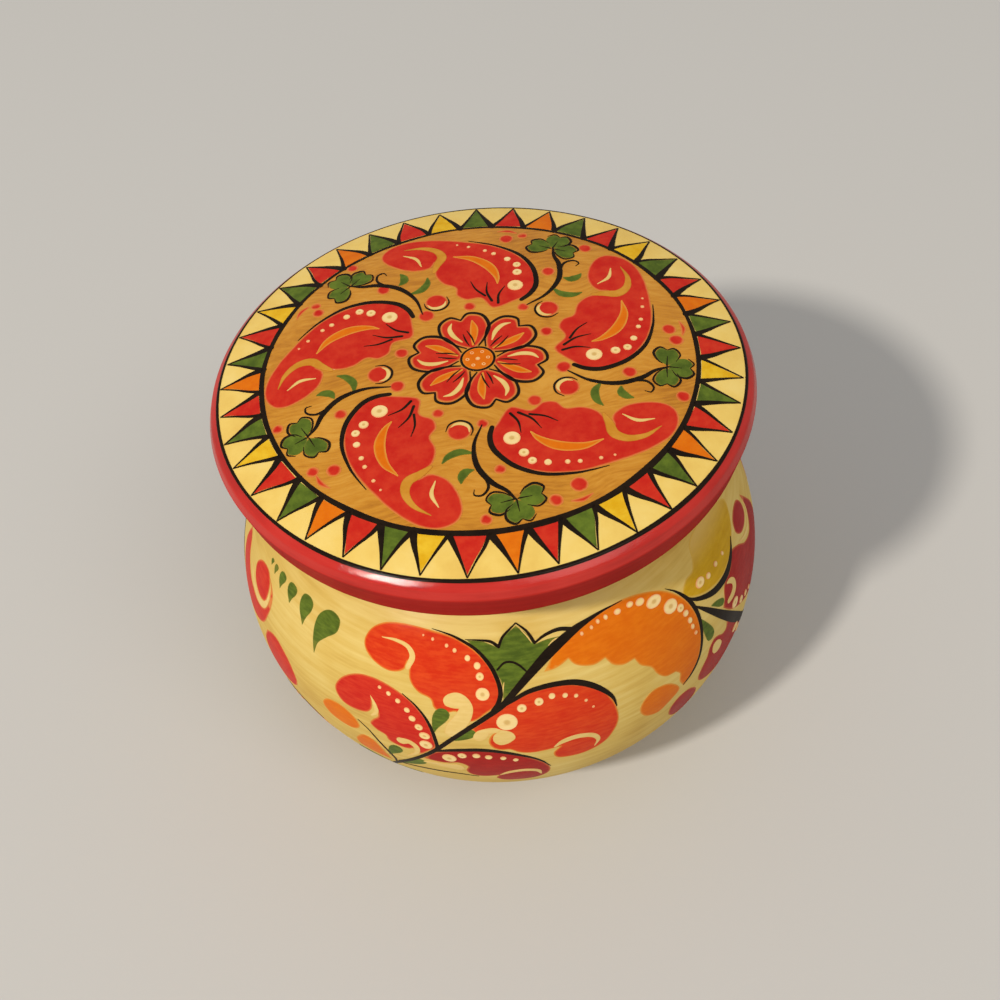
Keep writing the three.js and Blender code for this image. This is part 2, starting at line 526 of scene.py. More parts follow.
def brushed(tree, place, stretch, scale, detail, twist=0, wave=0):
    """Streaks that a brush leaves: noise drawn out along one way, which may turn in waves."""
    if wave:
        sway = add(tree, "TexNoise", {"Vector": place, "Scale": 0.05, "Detail": 1}).outputs[1]
        bent = add(tree, "VectorMath", {0: sway, "Scale": wave}, operation="SCALE").outputs[0]
        place = add(tree, "VectorMath", {0: place, 1: bent}, operation="ADD").outputs[0]
    drawn = add(tree, "Mapping", {"Vector": place, "Rotation": (0, 0, twist), "Scale": stretch}).outputs[0]
    inputs = {"Vector": drawn, "Scale": scale, "Detail": detail, "Roughness": 0.62}
    return add(tree, "TexNoise", inputs).outputs[0]


def paint(name, body, light, edge, soft=0.45, turns=None):
    """Gouache laid with a soft brush: streaked in the body, thin and warm along its edge over the ground.

    soft is that edge's width in millimetres. turns is another colour and the tones between which it comes."""
    material, tree, place, shader = lacquered(name, roughness=0.5, coat=0.28, gloss=0.15)
    streaks = brushed(tree, place, stretch=(0.3, 0.3, 1.6), scale=1.3, detail=5)
    blots = add(tree, "TexNoise", {"Vector": place, "Scale": 0.3, "Detail": 4, "Roughness": 0.6}).outputs[0]
    uneven = add(tree, "Math", {0: blots, 1: 0.5, 2: streaks}, operation="MULTIPLY_ADD").outputs[0]
    colour = blend(tree, uneven, 0.5, 1.05, srgb(body), srgb(light))
    if turns:
        other, start, end = turns
        tone = add(tree, "Attribute", attribute_name="tone").outputs["Fac"]
        colour = blend(tree, tone, start, end, colour, srgb(other))
    rim = add(tree, "Attribute", attribute_name="rim").outputs["Fac"]
    ragged = add(tree, "Math", {0: blots, 1: 0.35, 2: rim}, operation="MULTIPLY_ADD").outputs[0]
    colour = blend(tree, ragged, 0.15, 0.15 + soft, srgb(edge), colour)
    cover(tree, shader, colour, streaks, strength=0.5, depth=0.02)
    return material


def ground(name, stops, stretch, scale, coat=0.8, gloss=0.12, twist=0, wave=0, painted_shade=None):
    """A brushed ground coat, whose streaks run round the piece where it was laid on as the piece turned.

    The last argument is painted shade: a darker tint multiplied over the coat low down, and the heights
    between which it comes, from above."""
    material, tree, place, shader = lacquered(name, 0.45, coat, gloss)
    streaks = brushed(tree, place, stretch, scale, 6, twist, wave)
    blots = add(tree, "TexNoise", {"Vector": place, "Scale": 0.07, "Detail": 3}).outputs[0]
    uneven = add(tree, "Math", {0: streaks, 1: blots}, operation="ADD").outputs[0]
    half = add(tree, "Math", {0: uneven, 1: 0.5}, operation="MULTIPLY").outputs[0]
    colour = add(tree, "ValToRGB", {0: half}, stops).outputs[0]
    # Painted shade: the colour is multiplied darker below the lid's arris, where the underside of the edge
    # lies in shade.
    if painted_shade:
        tint, above, below = painted_shade
        height = add(tree, "SeparateXYZ", {"Vector": place}).outputs["Z"]
        colour = blend(tree, height, above, below, colour, srgb(tint), blend_type="MULTIPLY")
    cover(tree, shader, colour, streaks, strength=0.6, depth=0.02)
    return material


# How far the middle of the tree lay from the jar's axis, and the colours of its wood
PITH = (61, 38, 0)
LIMEWOOD = ((0.35, "#bf9560"), (0.6, "#d3ab74"), (0.85, "#e0bf8c"))


def turned_wood(name):
    """Pale limewood left bare inside and underneath: faint growth rings, fine fibres and a thin lacquer."""
    material, tree, place, shader = lacquered(name, roughness=0.5, coat=0.5, gloss=0.25)
    off_pith = add(tree, "Mapping", {"Vector": place, "Location": PITH, "Scale": (1, 1, 0.04)}).outputs[0]
    rings = {"Vector": off_pith, "Scale": 0.13, "Distortion": 3.4, "Detail": 3, "Detail Scale": 0.3}
    growth = add(tree, "TexWave", rings, wave_type="RINGS", rings_direction="Z").outputs["Fac"]
    fibres = brushed(tree, place, stretch=(1, 1, 0.05), scale=3.2, detail=5)
    both = add(tree, "Math", {0: growth, 1: 0.2, 2: fibres}, operation="MULTIPLY_ADD").outputs[0]
    colour = add(tree, "ValToRGB", {0: both}, LIMEWOOD).outputs[0]
    cover(tree, shader, colour, fibres, strength=0.6, depth=0.03)
    return material


IVORY_SIDE = ((0.3, "#c49b48"), (0.48, "#d8b65f"), (0.68, "#e5ca7b"))
IVORY_BORDER = ((0.3, "#e2b654"), (0.5, "#efca67"), (0.7, "#f5d780"))
OCHRE = ((0.34, "#ad6a12"), (0.5, "#cb8722"), (0.66, "#da9c38"))
RED = ((0.3, "#a3201a"), (0.5, "#bf2b22"), (0.72, "#cb382d"))

# The streaks that run round a turning piece, and the painted shade that darkens the red under the lid's arris
ROUND_THE_BOWL = (0.06, 0.06, 1)
ROUND_THE_LID = (0.07, 0.07, 1)
RED_SHADE_UNDER_ARRIS = ("#e0b8bc", TOP_EDGE - ARRIS_DEPTH + 0.15, TOP_EDGE - ARRIS_DEPTH - 0.5)

ivory_side = ground("gouache_ground_ivory", IVORY_SIDE, ROUND_THE_BOWL, 1.1, coat=0.22, gloss=0.3)
ivory_border = ground("gouache_ground_ivory_lid", IVORY_BORDER, (0.35, 0.35, 0.35), 0.5)
ochre_ground = ground("gouache_ground_ochre", OCHRE, (0.16, 1, 0.5), 1.6, twist=0.6, wave=14)
red_edge = ground("gouache_ground_red", RED, ROUND_THE_LID, 1.1, coat=0.65, gloss=0.065, painted_shade=RED_SHADE_UNDER_ARRIS)
red_low = ground("gouache_ground_red_low", RED, ROUND_THE_LID, 1.1, coat=0.15, gloss=0.2, painted_shade=RED_SHADE_UNDER_ARRIS)
limewood = turned_wood("limewood_lacquered")

# The colour that a leaf fades into towards its end, and the one that pools in a drop's dimple
FADED = ("#dcb764", 0.45, 1.1)
DIMPLED = ("#d8b068", 0.55, 0.85)

# The paints, each with how high its coat lies, counted in coats
PAINTS = {
    "orange": (paint("gouache_orange", "#da6804", "#e3780f", "#dd963a"), 2.6),
    "yellow": (paint("gouache_yellow", "#dda612", "#ecc030", "#e2bc50"), 1.2),
    "faded": (paint("gouache_yellow_faded", "#c4940e", "#d2a51e", "#d8b04e", turns=FADED), 1.5),
    "crimson": (paint("gouache_crimson", "#9c1814", "#b0241c", "#c86a34"), 1.8),
    "red": (paint("gouache_red", "#c42016", "#d33a22", "#d98240"), 2.1),
    "scarlet": (paint("gouache_scarlet", "#cf2e10", "#dd4a1c", "#de8a34"), 2.4),
    "green": (paint("gouache_green", "#47581a", "#687a26", "#6f7428", soft=0.25), 3),
    "cream": (paint("gouache_cream", "#e2bf6e", "#ebcb82", "#e2b868", soft=0.25), 3.5),
    "ochre": (paint("gouache_ochre", "#c88422", "#d69636", "#ba6c22", soft=0.2), 2.7),
    "black": (paint("gouache_black", "#170e06", "#25190c", "#302010", soft=0.1), 4.5),
    "drops": (paint("gouache_cream_drops", "#f0ce86", "#f6da9c", "#efa870", soft=0.28, turns=DIMPLED), 5.3),
}


# The two turned pieces


def bowl_outside():
    """The bowl's outer profile from the base's corner to the rim, inside its size by the room for paint."""
    reach = BELLY_HEIGHT / math.sqrt(1 - (BASE_RADIUS / BELLY_RADIUS) ** 2)
    ease_height = BASE_EASE * BELLY_HEIGHT / reach / 2
    low = -math.asin((BELLY_HEIGHT - ease_height) / reach)
    belly = oval_arc(0, BELLY_HEIGHT, BELLY_RADIUS, reach, low, 0, facets=60)
    corner = bezier((BASE_RADIUS - BASE_EASE, 0), (BASE_RADIUS, 0), belly[0], CORNER_FACETS)
    width = BELLY_RADIUS - SHOULDER_INSET
    rise = SHOULDER_HEIGHT - BELLY_HEIGHT
    cove_foot = NECK_RADIUS + NECK_COVE * (1 - math.cos(QUARTER / 2))
    end = math.acos((cove_foot - SHOULDER_INSET) / width)
    shoulder = oval_arc(SHOULDER_INSET, BELLY_HEIGHT, width, rise, 0, end, facets=60)
    middle = (NECK_RADIUS + NECK_COVE, shoulder[-1][1] + NECK_COVE * math.sin(QUARTER / 2))
    cove = oval_arc(*middle, NECK_COVE, NECK_COVE, -1.5 * QUARTER, -2 * QUARTER, facets=8)
    middle = (NECK_RADIUS - RIM_EASE, BOWL_HEIGHT - RIM_EASE)
    rim = oval_arc(*middle, RIM_EASE, RIM_EASE, 0, QUARTER, RIM_FACETS)
    points = np.r_[corner, belly[1:], shoulder[1:], cove[1:], rim]
    return points - (PAINT_ROOM, 0)


def bowl_inside():
    """The bowl's inner profile, from the mouth down to the middle of the floor."""
    hollow = BELLY_RADIUS - BELLY_WALL
    mouth = [(MOUTH_RADIUS + MOUTH_CHAMFER, BOWL_HEIGHT), (MOUTH_RADIUS, BOWL_HEIGHT - MOUTH_CHAMFER)]
    width = hollow - MOUTH_RADIUS
    rise = BOWL_HEIGHT - MOUTH_BORE_DEPTH - BELLY_HEIGHT
    upper = oval_arc(MOUTH_RADIUS, BELLY_HEIGHT, width, rise, QUARTER, 0, facets=30)
    width = hollow - FLOOR_FLAT_RADIUS
    depth = BELLY_HEIGHT - FLOOR_THICKNESS
    lower = oval_arc(FLOOR_FLAT_RADIUS, BELLY_HEIGHT, width, depth, 0, -QUARTER, facets=36)
    return [*mouth, *upper, *lower[1:], (0, FLOOR_THICKNESS)]


def lid_inside():
    """The lid's profile from the middle of its ceiling out round the spigot to the underside."""
    inner = SPIGOT_RADIUS - SPIGOT_WALL
    ceiling = oval_arc(0, UNDERSIDE + HOLLOW_DEPTH, inner, HOLLOW_RISE, QUARTER, 0, facets=24)
    ceiling[0][0] = 0
    spigot = [(inner, SPIGOT_END), (SPIGOT_RADIUS - SPIGOT_LEAD_IN, SPIGOT_END)]
    spigot += [(SPIGOT_RADIUS, SPIGOT_END + SPIGOT_LEAD_IN), (SPIGOT_RADIUS, UNDERSIDE)]
    return [*ceiling, *spigot]


def lid_edge(top_edge, edge_radius):
    """The lid's edge in two profiles: from the underside up to the arris, and over the bevel to the top."""
    bevel_top = (TOP_RADIUS + TOP_EASE_WIDTH, top_edge - TOP_EASE_DROP)
    bevel_foot = (bevel_top[0] + BEVEL_WIDTH, bevel_top[1] - BEVEL_DROP)
    bevel_middle = (bevel_top[0] + BEVEL_SHARES[0] * BEVEL_WIDTH, bevel_top[1] - BEVEL_SHARES[1] * BEVEL_DROP)
    bevel = bezier(bevel_foot, bevel_middle, bevel_top, facets=6)
    arris = (edge_radius, TOP_EDGE - ARRIS_DEPTH)
    undercut_foot = (edge_radius - UNDERCUT, UNDERSIDE + EDGE_ROUND)
    band = np.linspace(bevel_foot, arris, BAND_POINTS)
    undercut = np.linspace(arris, undercut_foot, BAND_POINTS)
    seat_corner = (edge_radius - UNDERCUT - UNDERCUT_PULL, UNDERSIDE)
    lower = [
        *bezier((UNDERSIDE_RADIUS, UNDERSIDE), seat_corner, undercut_foot, facets=10),
        *undercut[-2:0:-1],
        *bezier(undercut[1], arris, band[-2], facets=6)[1:],
    ]
    upper = [
        *band[-3:1:-1],
        *bezier(band[1], bevel_foot, bevel[1], facets=4),
        *bevel[2:],
        *bezier(bevel_top, (TOP_RADIUS + TOP_EASE_PULL, top_edge), (TOP_RADIUS, top_edge), facets=4)[1:],
    ]
    return lower, upper


def lid_dome(top_edge):
    """The lid's top, from its edge in to the middle, with a point at each of the painted rings."""
    radii = np.r_[TOP_RADIUS, np.linspace(BORDER_RADIUS, 0, DOME_RINGS), MEDALLION_RADIUS]
    radii = np.unique(radii)[::-1]
    return np.c_[radii, top_edge + DOME_RISE * (1 - (radii / TOP_RADIUS) ** DOME_POWER)]


outside = bowl_outside()
turned(
    "bowl_turned",
    [([(0, 0), outside[0]], 1), (outside, 0), (bowl_inside(), 1)],
    [ivory_side, limewood],
    "bowl",
)
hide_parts("bowl")
side = Side(outside[CORNER_FACETS : -RIM_FACETS - 1])

top_edge = TOP_EDGE - PAINT_ROOM
lower_edge, upper_edge = lid_edge(top_edge, EDGE_RADIUS - PAINT_ROOM / 2)
dome = lid_dome(top_edge)
border = dome[(dome[:, 0] >= MEDALLION_RADIUS) & (dome[:, 0] <= BORDER_RADIUS)]
medallion = dome[dome[:, 0] <= MEDALLION_RADIUS]
turned(
    "lid_turned",
    [
        ([*lid_inside(), lower_edge[0]], 3),
        (lower_edge, 4),
        ([*upper_edge, *dome[:2]], 2),
        (border, 1),
        (medallion, 0),
    ],
    [ochre_ground, ivory_border, red_edge, limewood, red_low],
    "lid",
)
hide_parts("lid")
top = Top(np.r_[upper_edge[-TOP_OVERLAP:-1], dome])


# The painted ornament

# The order in which the brush strokes of a motif are painted
BRUSH_ORDER = ("orange", "red", "ochre", "green", "cream", "black")


def new_coats(prefix, surface):
    """A coat of each paint for one surface."""
    return {c: Coat(prefix + "_" + c, surface, *PAINTS[c]) for c in PAINTS}


def make_coats(coats, body, slot):
    """Makes the meshes of the coats that were painted with."""
    for coat in coats.values():
        if coat.points:
            coat.make(body, slot)


def moved(points, centre=(0, 0), to=(0, 0), turn=0, scale=1):
    """Points of a motif, turned in degrees and scaled about its centre, and set down at another place."""
    made = np.array(points, float)
    made[:, :2] = (made[:, :2] - centre) * scale @ turning(turn) + to
    made[:, 2:] *= scale
    return made


def paint_motif(coats, motif, colours=None, **place):
    """Paints a motif: its leaves, then its strokes, then its drops. Colours may be swapped for others."""
    colours = colours or {}
    for colour, outline, *corners in motif.get("leaves", ()):
        coat = coats[colours.get(colour, colour)]
        outline = moved(outline, **place)
        coat.leaf(outline, corners[0] if corners else (), outline.min(0) * (0, 1), outline.max(0) * (0, 1))
    for colour in BRUSH_ORDER:
        for path in motif.get(colour, ()):
            coats[colours.get(colour, colour)].stroke(moved(path, **place))
    for x, y, *size in motif.get("drops", ()):
        spot = moved([(x, y)], **place)[0]
        wide, tall = 2 * size[0] * place.get("scale", 1), 2 * size[-1] * place.get("scale", 1)
        coats["drops"].drop(*spot, wide, tall, place.get("turn", 0))


# A motif's leaves are outlines, some with the numbers of their sharp corners. Its strokes are paths of x, y
# and width. Its drops have a place, half their width and, where it differs, half their height.
SCARLET_COMMA = {
    "leaves": [
        ("scarlet", [
            (-29.8, 20.3), (-28.9, 22.6), (-26.5, 24.3), (-22.5, 25.1), (-17, 25), (-11.4, 24.1),
            (-7.4, 22.1), (-4.7, 19.4), (-3.5, 16.6), (-3.2, 14.3), (-4, 12.1), (-5.8, 10.5), (-8.8, 8.6),
            (-11.2, 10.6), (-13.4, 10), (-15.1, 10.9), (-15.7, 12.6), (-18, 13.6), (-19.6, 15.5),
            (-19.9, 17.5), (-19.6, 19.4), (-20.4, 18.9), (-20.9, 17.3), (-23.5, 16.3), (-27, 17.1),
            (-29.2, 18.7),
        ], (20, 21)),
        ("cream", [(-13.4, 12.9), (-12.7, 13.9), (-10.9, 14.5), (-9.3, 13.8), (-8.2, 11.9), (-8.5, 9.5),
                   (-9.9, 6.8), (-11.9, 4.6), (-13.4, 5.2), (-12.9, 7.7), (-11.5, 9.7), (-10.6, 11.3),
                   (-11.7, 11.3), (-13.1, 11.8)], (11,)),
    ],
    "cream": [
        [(-20.2, 17.9, 1), (-19.5, 20, 1.15), (-20.6, 21.4, 0.8), (-23.2, 22, 0.55), (-26.3, 21.8, 0.12)],
    ],
    "black": [
        [(-16.2, 25.2, 0.1), (-13.6, 24.8, 0.25), (-11.2, 24.2, 0.4), (-7.2, 22.3, 0.6), (-4.6, 19.5, 0.75),
         (-3.4, 16.7, 0.8), (-3.1, 14.4, 0.85), (-3.7, 12.4, 0.8), (-4.7, 11, 0.7)],
    ],
    "drops": [(-6.3, 14.3, 1.25), (-6.6, 17.6, 0.75), (-7, 19.5, 0.65), (-8.8, 20.8, 0.55), (-11.3, 22, 0.4),
              (-12.9, 22.7, 0.35), (-15.8, 23.5, 0.3), (-17.8, 23.9, 0.2)],
}
SEPAL = {
    "leaves": [
        ("green", [(-8.9, 23.8), (-5.6, 23.5), (-2.7, 22.4), (-1.8, 24), (1.1, 25.7), (3.1, 24.1),
                   (4.3, 22.2), (7, 22.6), (9.9, 22.5), (5.3, 20.1), (2, 17.4), (-1.5, 14.3), (-2.7, 13.1),
                   (-2.7, 16.2), (-3.9, 18.7), (-5.4, 20.6), (-7.2, 22.4)], (0, 2, 4, 6, 8, 12)),
    ],
    "cream": [
        [(1.9, 25.1, 0.1), (3.1, 23.7, 0.25), (3.8, 22.5, 0.1)],
        [(9.4, 22.4, 0.1), (8.1, 22.2, 0.25), (6.8, 21.5, 0.1)],
        [(-2.3, 16.4, 0.1), (-2.8, 14.4, 0.35), (-3.4, 12.6, 0.2)],
    ],
    "black": [
        [(-9.3, 23.9, 0.1), (-6.4, 23.8, 0.3), (-4.2, 23.5, 0.5), (-2.7, 22.6, 0.6)],
        [(-2.7, 22.6, 0.6), (-1.8, 24.1, 0.5), (1.2, 26.2, 0.25)],
        [(1.2, 26.2, 0.25), (3.2, 24.5, 0.5), (4.3, 22.5, 0.6)],
        [(4.3, 22.4, 0.35), (6.4, 23.3, 0.5), (9.6, 23.7, 0.65), (12.6, 22.9, 0.8)],
        [(-3.3, 18.7, 0.35), (-1.9, 19.8, 0.4), (-0.5, 19.8, 0.4), (0.8, 19.1, 0.4), (1.9, 17.9, 0.35)],
    ],
}
STEM = {
    "black": [
        [(-24, -9.5, 0.8), (-20, -5, 0.8), (-16, -0.5, 0.85), (-12.6, 3.6, 0.9), (-9.7, 6.5, 0.95),
         (-6.2, 9.4, 1), (-3, 11.9, 1.15), (-0.4, 14.6, 1.3), (2.9, 17.6, 1.6), (6.9, 20.4, 1.85),
         (12.1, 22.7, 1.4), (15.4, 23.5, 0.85), (19.3, 24, 0.4), (23.9, 24, 0.1)],
        [(-23.6, -9.2, 0.8), (-26.6, -14, 0.8), (-28.6, -19.5, 0.6), (-29.4, -25.5, 0.12)],
        [(-23.8, -10.2, 0.15), (-21.2, -9.7, 0.35), (-18.4, -9.3, 0.4), (-15.3, -9.2, 0.4),
         (-12.3, -9.3, 0.3), (-9, -10.2, 0.1)],
    ],
}
SCARLET_ROUND = {
    "leaves": [
        ("scarlet", [
            (-9, 6.6), (-7, 8.4), (-4.6, 10.6), (-1.9, 12.3), (1.5, 13.8), (6.3, 14.3), (10, 13.6),
            (13.1, 12), (15.4, 9.6), (16.8, 5.6), (16.9, 1.6), (15.8, -1.2), (14.2, -3.4), (11.5, -4.8),
            (8, -4.9), (5.4, -3.9), (4.9, -2), (6.2, -0.3), (3.2, -0.6), (0.8, -0.6), (-1.1, 0), (-2.5, 1.1),
            (-3.9, 1.1), (-5.1, 1.6), (-5.7, 2.4), (-6, 3.5), (-5.8, 4.5), (-5.3, 5.4), (-4.5, 6),
            (-6.6, 6.3), (-7.9, 5.9),
        ], (17, 28)),
        ("cream", [(-8.6, 4.4), (-8.3, 5.7), (-7.7, 6.4), (-6.8, 6.8), (-5.5, 7.1), (-4.4, 7), (-3.7, 6.6),
                   (-2.8, 6.3), (-1.9, 5.8), (-1.4, 4.9), (-1.4, 4.2), (-2.1, 3.4), (-3, 2.8), (-4, 2.6),
                   (-4.8, 3.1), (-5.2, 3.9), (-5.2, 4.7), (-4.9, 5.4), (-4.4, 5.9), (-5.5, 5.7), (-6.2, 4.7),
                   (-6.8, 4.1), (-7.7, 3.8)], (18,)),
    ],
    "cream": [
        [(5.2, 0, 0.4), (6.6, 1, 1.1), (9.2, 1.4, 1.2), (12, 0.3, 1.1), (13, -1.6, 0.8), (12.3, -3.6, 0.2)],
    ],
    "black": [
        [(-5, 10.7, 0.5), (-1.6, 12.5, 0.7), (1.6, 14, 0.85), (4.7, 14.5, 0.95), (7.8, 14.4, 1),
         (10.4, 13.8, 1.1), (13, 12.3, 1.1), (15.2, 10.1, 0.9), (16.5, 7.9, 0.6), (16.9, 5.6, 0.15)],
    ],
    "drops": [(-2.5, 8.3, 1.85), (0.3, 11, 0.85), (3.4, 11.8, 0.8), (5.8, 12.4, 0.6), (8.1, 11.9, 0.5),
              (10, 11.2, 0.4), (11.6, 9.6, 0.3), (12.7, 7.7, 0.25)],
}
CRIMSON_COMMA = {
    "leaves": [
        ("red", [
            (-34.8, 8.3), (-33.5, 11), (-30.5, 13.3), (-27, 14), (-23, 13.3), (-19.4, 11.4), (-17, 8.7),
            (-16, 6.2), (-15.5, 3.4), (-15.5, 0.9), (-17, -0.8), (-18.8, -2.5), (-19.8, -1), (-20.5, -1.5),
            (-22.5, -1.5), (-24.5, -0.4), (-24.8, 0.8), (-26.5, 1.6), (-27.6, 2.9), (-27, 4.2), (-25.8, 5.8),
            (-26.9, 9.2), (-27, 7), (-28, 5.7), (-30.5, 5), (-33, 5.3), (-34.5, 6.8),
        ], (21,)),
    ],
    "cream": [
        [(-27.2, 5.2, 0.3), (-26.1, 6.6, 0.9), (-26.4, 8.4, 0.7), (-27.2, 10, 0.12)],
        [(-21.4, -4.6, 0.3), (-19.4, -2.4, 0.9), (-19.2, -0.2, 1.2), (-20.4, 0.9, 1.3), (-21.8, 0.6, 1.9)],
    ],
    "black": [
        [(-21, 12.6, 0.1), (-18.6, 10.8, 0.3), (-16.9, 8.6, 0.45), (-15.9, 6.2, 0.6), (-15.4, 3.6, 0.65),
         (-15.2, 1.2, 0.65), (-15.5, -0.2, 0.5)],
    ],
    "drops": [(-25.4, 12.5, 0.35), (-23.6, 11.8, 0.45), (-21.8, 10.8, 0.5), (-20.1, 9.3, 0.55),
              (-19.2, 7.6, 0.65), (-18.1, 5.8, 0.75), (-17.2, 3.8, 1, 0.9), (-17.2, 1.2, 1.2)],
}
LOW_COMMA = {
    "leaves": [
        ("crimson", [
            (-16, -1), (-12, 0.5), (-8, 1), (-4, 0.3), (-0.2, -1.7), (2.7, -4.6), (4.1, -8), (3.6, -11.2),
            (1.5, -13.4), (-1.5, -13.8), (-4.5, -13.2), (-5.8, -11.2), (-5.2, -9.4), (-8.2, -10),
            (-10.2, -9), (-10.9, -7), (-10.4, -5), (-11.8, -3.8), (-14.6, -4.4), (-18.2, -4),
        ], (12, 19)),
    ],
    "cream": [
        [(-5, -9.2, 0.3), (-3.3, -7.9, 1), (-0.6, -7.4, 1.1), (1.8, -8.5, 1), (2.5, -11, 0.2)],
        [(-18.6, -5.6, 0.3), (-16.6, -5.4, 1.1), (-14.4, -5.7, 1.7), (-12.4, -5.9, 2.6)],
    ],
    "black": [
        [(-15.5, -0.3, 0.5), (-12.6, 0.6, 0.75), (-10.3, 1, 0.85), (-8.1, 1.2, 0.9), (-6, 1, 0.85),
         (-3.9, 0.4, 0.75), (-1.7, -0.6, 0.65), (0.8, -2.2, 0.5), (2.7, -4.2, 0.35), (4.2, -7.2, 0.1)],
    ],
    "drops": [(-13.4, -2.2, 1.3), (-11, -0.9, 0.8), (-8.5, -0.7, 0.7), (-6.4, -1.1, 0.65),
              (-3.9, -1.6, 0.55), (-1.8, -2.5, 0.5)],
}
ORANGE_FAN = {
    "leaves": [
        ("orange", [
            (8, 20.5), (12, 22.8), (18, 23.9), (24, 24.1), (29, 23), (33, 21), (36, 17.5), (37.2, 13),
            (36.8, 8), (35, 3.5), (32.8, 0.9), (31.2, -0.3), (30.2, 2.2), (30.4, 4), (29.5, 5.3),
            (27.3, 5.9), (25.7, 7.7), (24.7, 10), (22.8, 11.7), (22, 13.5), (19.6, 13.5), (17.7, 14.5),
            (16.7, 16.2), (14.5, 15.8), (12.4, 16.3), (10.8, 17.2), (10, 18.4), (8.5, 17.7), (7, 17.3),
            (5.2, 17.2),
        ], (11, 14, 19, 22, 26, 29)),
        ("orange", [(21.3, 0.8), (21.8, 2.9), (24.1, 4.6), (27.1, 4), (29.4, 1.8), (30.1, -0.3),
                    (27.9, -1.8), (25.3, -2.9), (22.5, -1.5)]),
    ],
    "black": [
        [(33.4, 21.2, 0.1), (35.3, 19.3, 0.45), (37, 16.2, 0.9), (37.6, 12.5, 0.9), (37, 8, 0.7),
         (35.5, 4, 0.6), (33, 1.2, 0.5), (31, 0.2, 0.2)],
    ],
    "drops": [
        (13.7, 21.8, 0.35), (15.9, 22.2, 0.35), (17.5, 22.7, 0.4), (19.3, 22.8, 0.45), (22, 22.7, 0.8, 0.5),
        (25, 22.7, 0.8, 0.5), (27.2, 22.1, 1.05, 0.65), (29.9, 20.7, 1.85, 1.05), (32.7, 18, 1.7, 1.25),
        (34.5, 16.4, 0.85, 0.75), (35.1, 14.8, 0.7, 0.6), (35.4, 13, 0.55, 0.6), (35.5, 11.5, 0.45, 0.55),
        (35.8, 9.8, 0.4),
    ],
}
ORANGE_COMMA = {
    "leaves": [
        ("orange", [(-38.4, 1.2), (-37, 3.4), (-34, 4), (-31.2, 2.6), (-30.2, 0.2), (-31.6, -1.6),
                    (-34.6, -1.9), (-37.4, -0.8)]),
        ("orange", [(-31.6, -4.4), (-29.8, -2.4), (-28, -2.8), (-26.9, -4.8), (-26.2, -7.6), (-26, -10.4),
                    (-28, -10.2), (-30.6, -9.8), (-32.3, -8.6), (-32.5, -6.4)], (5,)),
    ],
    "black": [
        [(-30.3, 2.3, 0.1), (-28.4, 0.6, 0.2), (-26.8, -2.3, 0.35), (-25.5, -5.4, 0.45), (-24.8, -8.6, 0.45),
         (-25.2, -11, 0.3)],
    ],
}
SMALL_GREENS = {
    "green": [
        [(-15.4, 5.2, 0.2), (-15.1, 6.6, 1.1), (-14.3, 8.6, 2.5), (-13.7, 9.7, 2.7)],
        [(-11.9, 3.6, 0.2), (-11, 4.2, 1), (-9.6, 5.2, 1.9), (-9, 5.7, 2)],
        [(-25.5, -7, 0.2), (-25, -5.8, 1), (-23.9, -3.9, 2.3), (-23.3, -3, 2.4)],
        [(-24.5, -10.4, 0.3), (-22.6, -8.6, 1.4), (-20.6, -7, 2.2), (-19.2, -6, 2.1)],
        [(-27.6, -15.4, 0.2), (-29.4, -13.8, 1.5), (-31.6, -12.7, 2.3), (-33, -12.4, 2.3)],
        [(-27.9, -17.4, 0.2), (-26, -16.6, 1.5), (-23.8, -16.2, 2.3), (-22.4, -16.4, 2.3)],
        [(-28.8, -20.6, 0.2), (-30.6, -19.6, 1.3), (-32.6, -19.1, 2), (-34, -19.2, 2)],
        [(-28.9, -22.2, 0.2), (-27.2, -21.7, 1.3), (-25.2, -21.6, 2), (-23.8, -21.9, 2)],
    ],
}
YELLOW_LEAF = {
    "leaves": [
        ("faded", [(36.3, 17.8), (39.2, 15.5), (43, 14), (47, 13.4), (51, 14), (54.5, 15.3), (58, 17.5),
                   (60.5, 20.3), (57, 22.4), (52, 23.8), (47, 24), (44, 23.2), (42.6, 21.3), (41, 19.8),
                   (38.5, 19.6)]),
    ],
    "black": [
        [(36.7, 17.2, 0.15), (37.9, 15.8, 0.6), (40.1, 14.4, 0.9), (44, 12.9, 1.3), (48.5, 12.7, 1.4),
         (52, 14, 0.9), (54.8, 16, 0.15)],
        [(37.5, 14.6, 0.2), (40.5, 11, 1.1), (44, 6.5, 1.8), (48, 1.5, 2.2), (54, -5.5, 1.7), (58, -9, 1),
         (62, -13.5, 0.12)],
    ],
    "green": [
        [(38, 11, 0.2), (38.4, 9, 1.6), (39, 7, 2.3), (39.2, 6.1, 2.4)],
        [(41.4, 11.3, 0.2), (42.4, 10.8, 0.9), (43.6, 10, 1.5), (44.4, 9.5, 1.5)],
    ],
    "drops": [(41.2, 17, 1.3, 0.9), (43.8, 16.4, 0.7, 0.55), (46.9, 16.5, 0.6, 0.5), (50, 16.3, 0.4)],
}
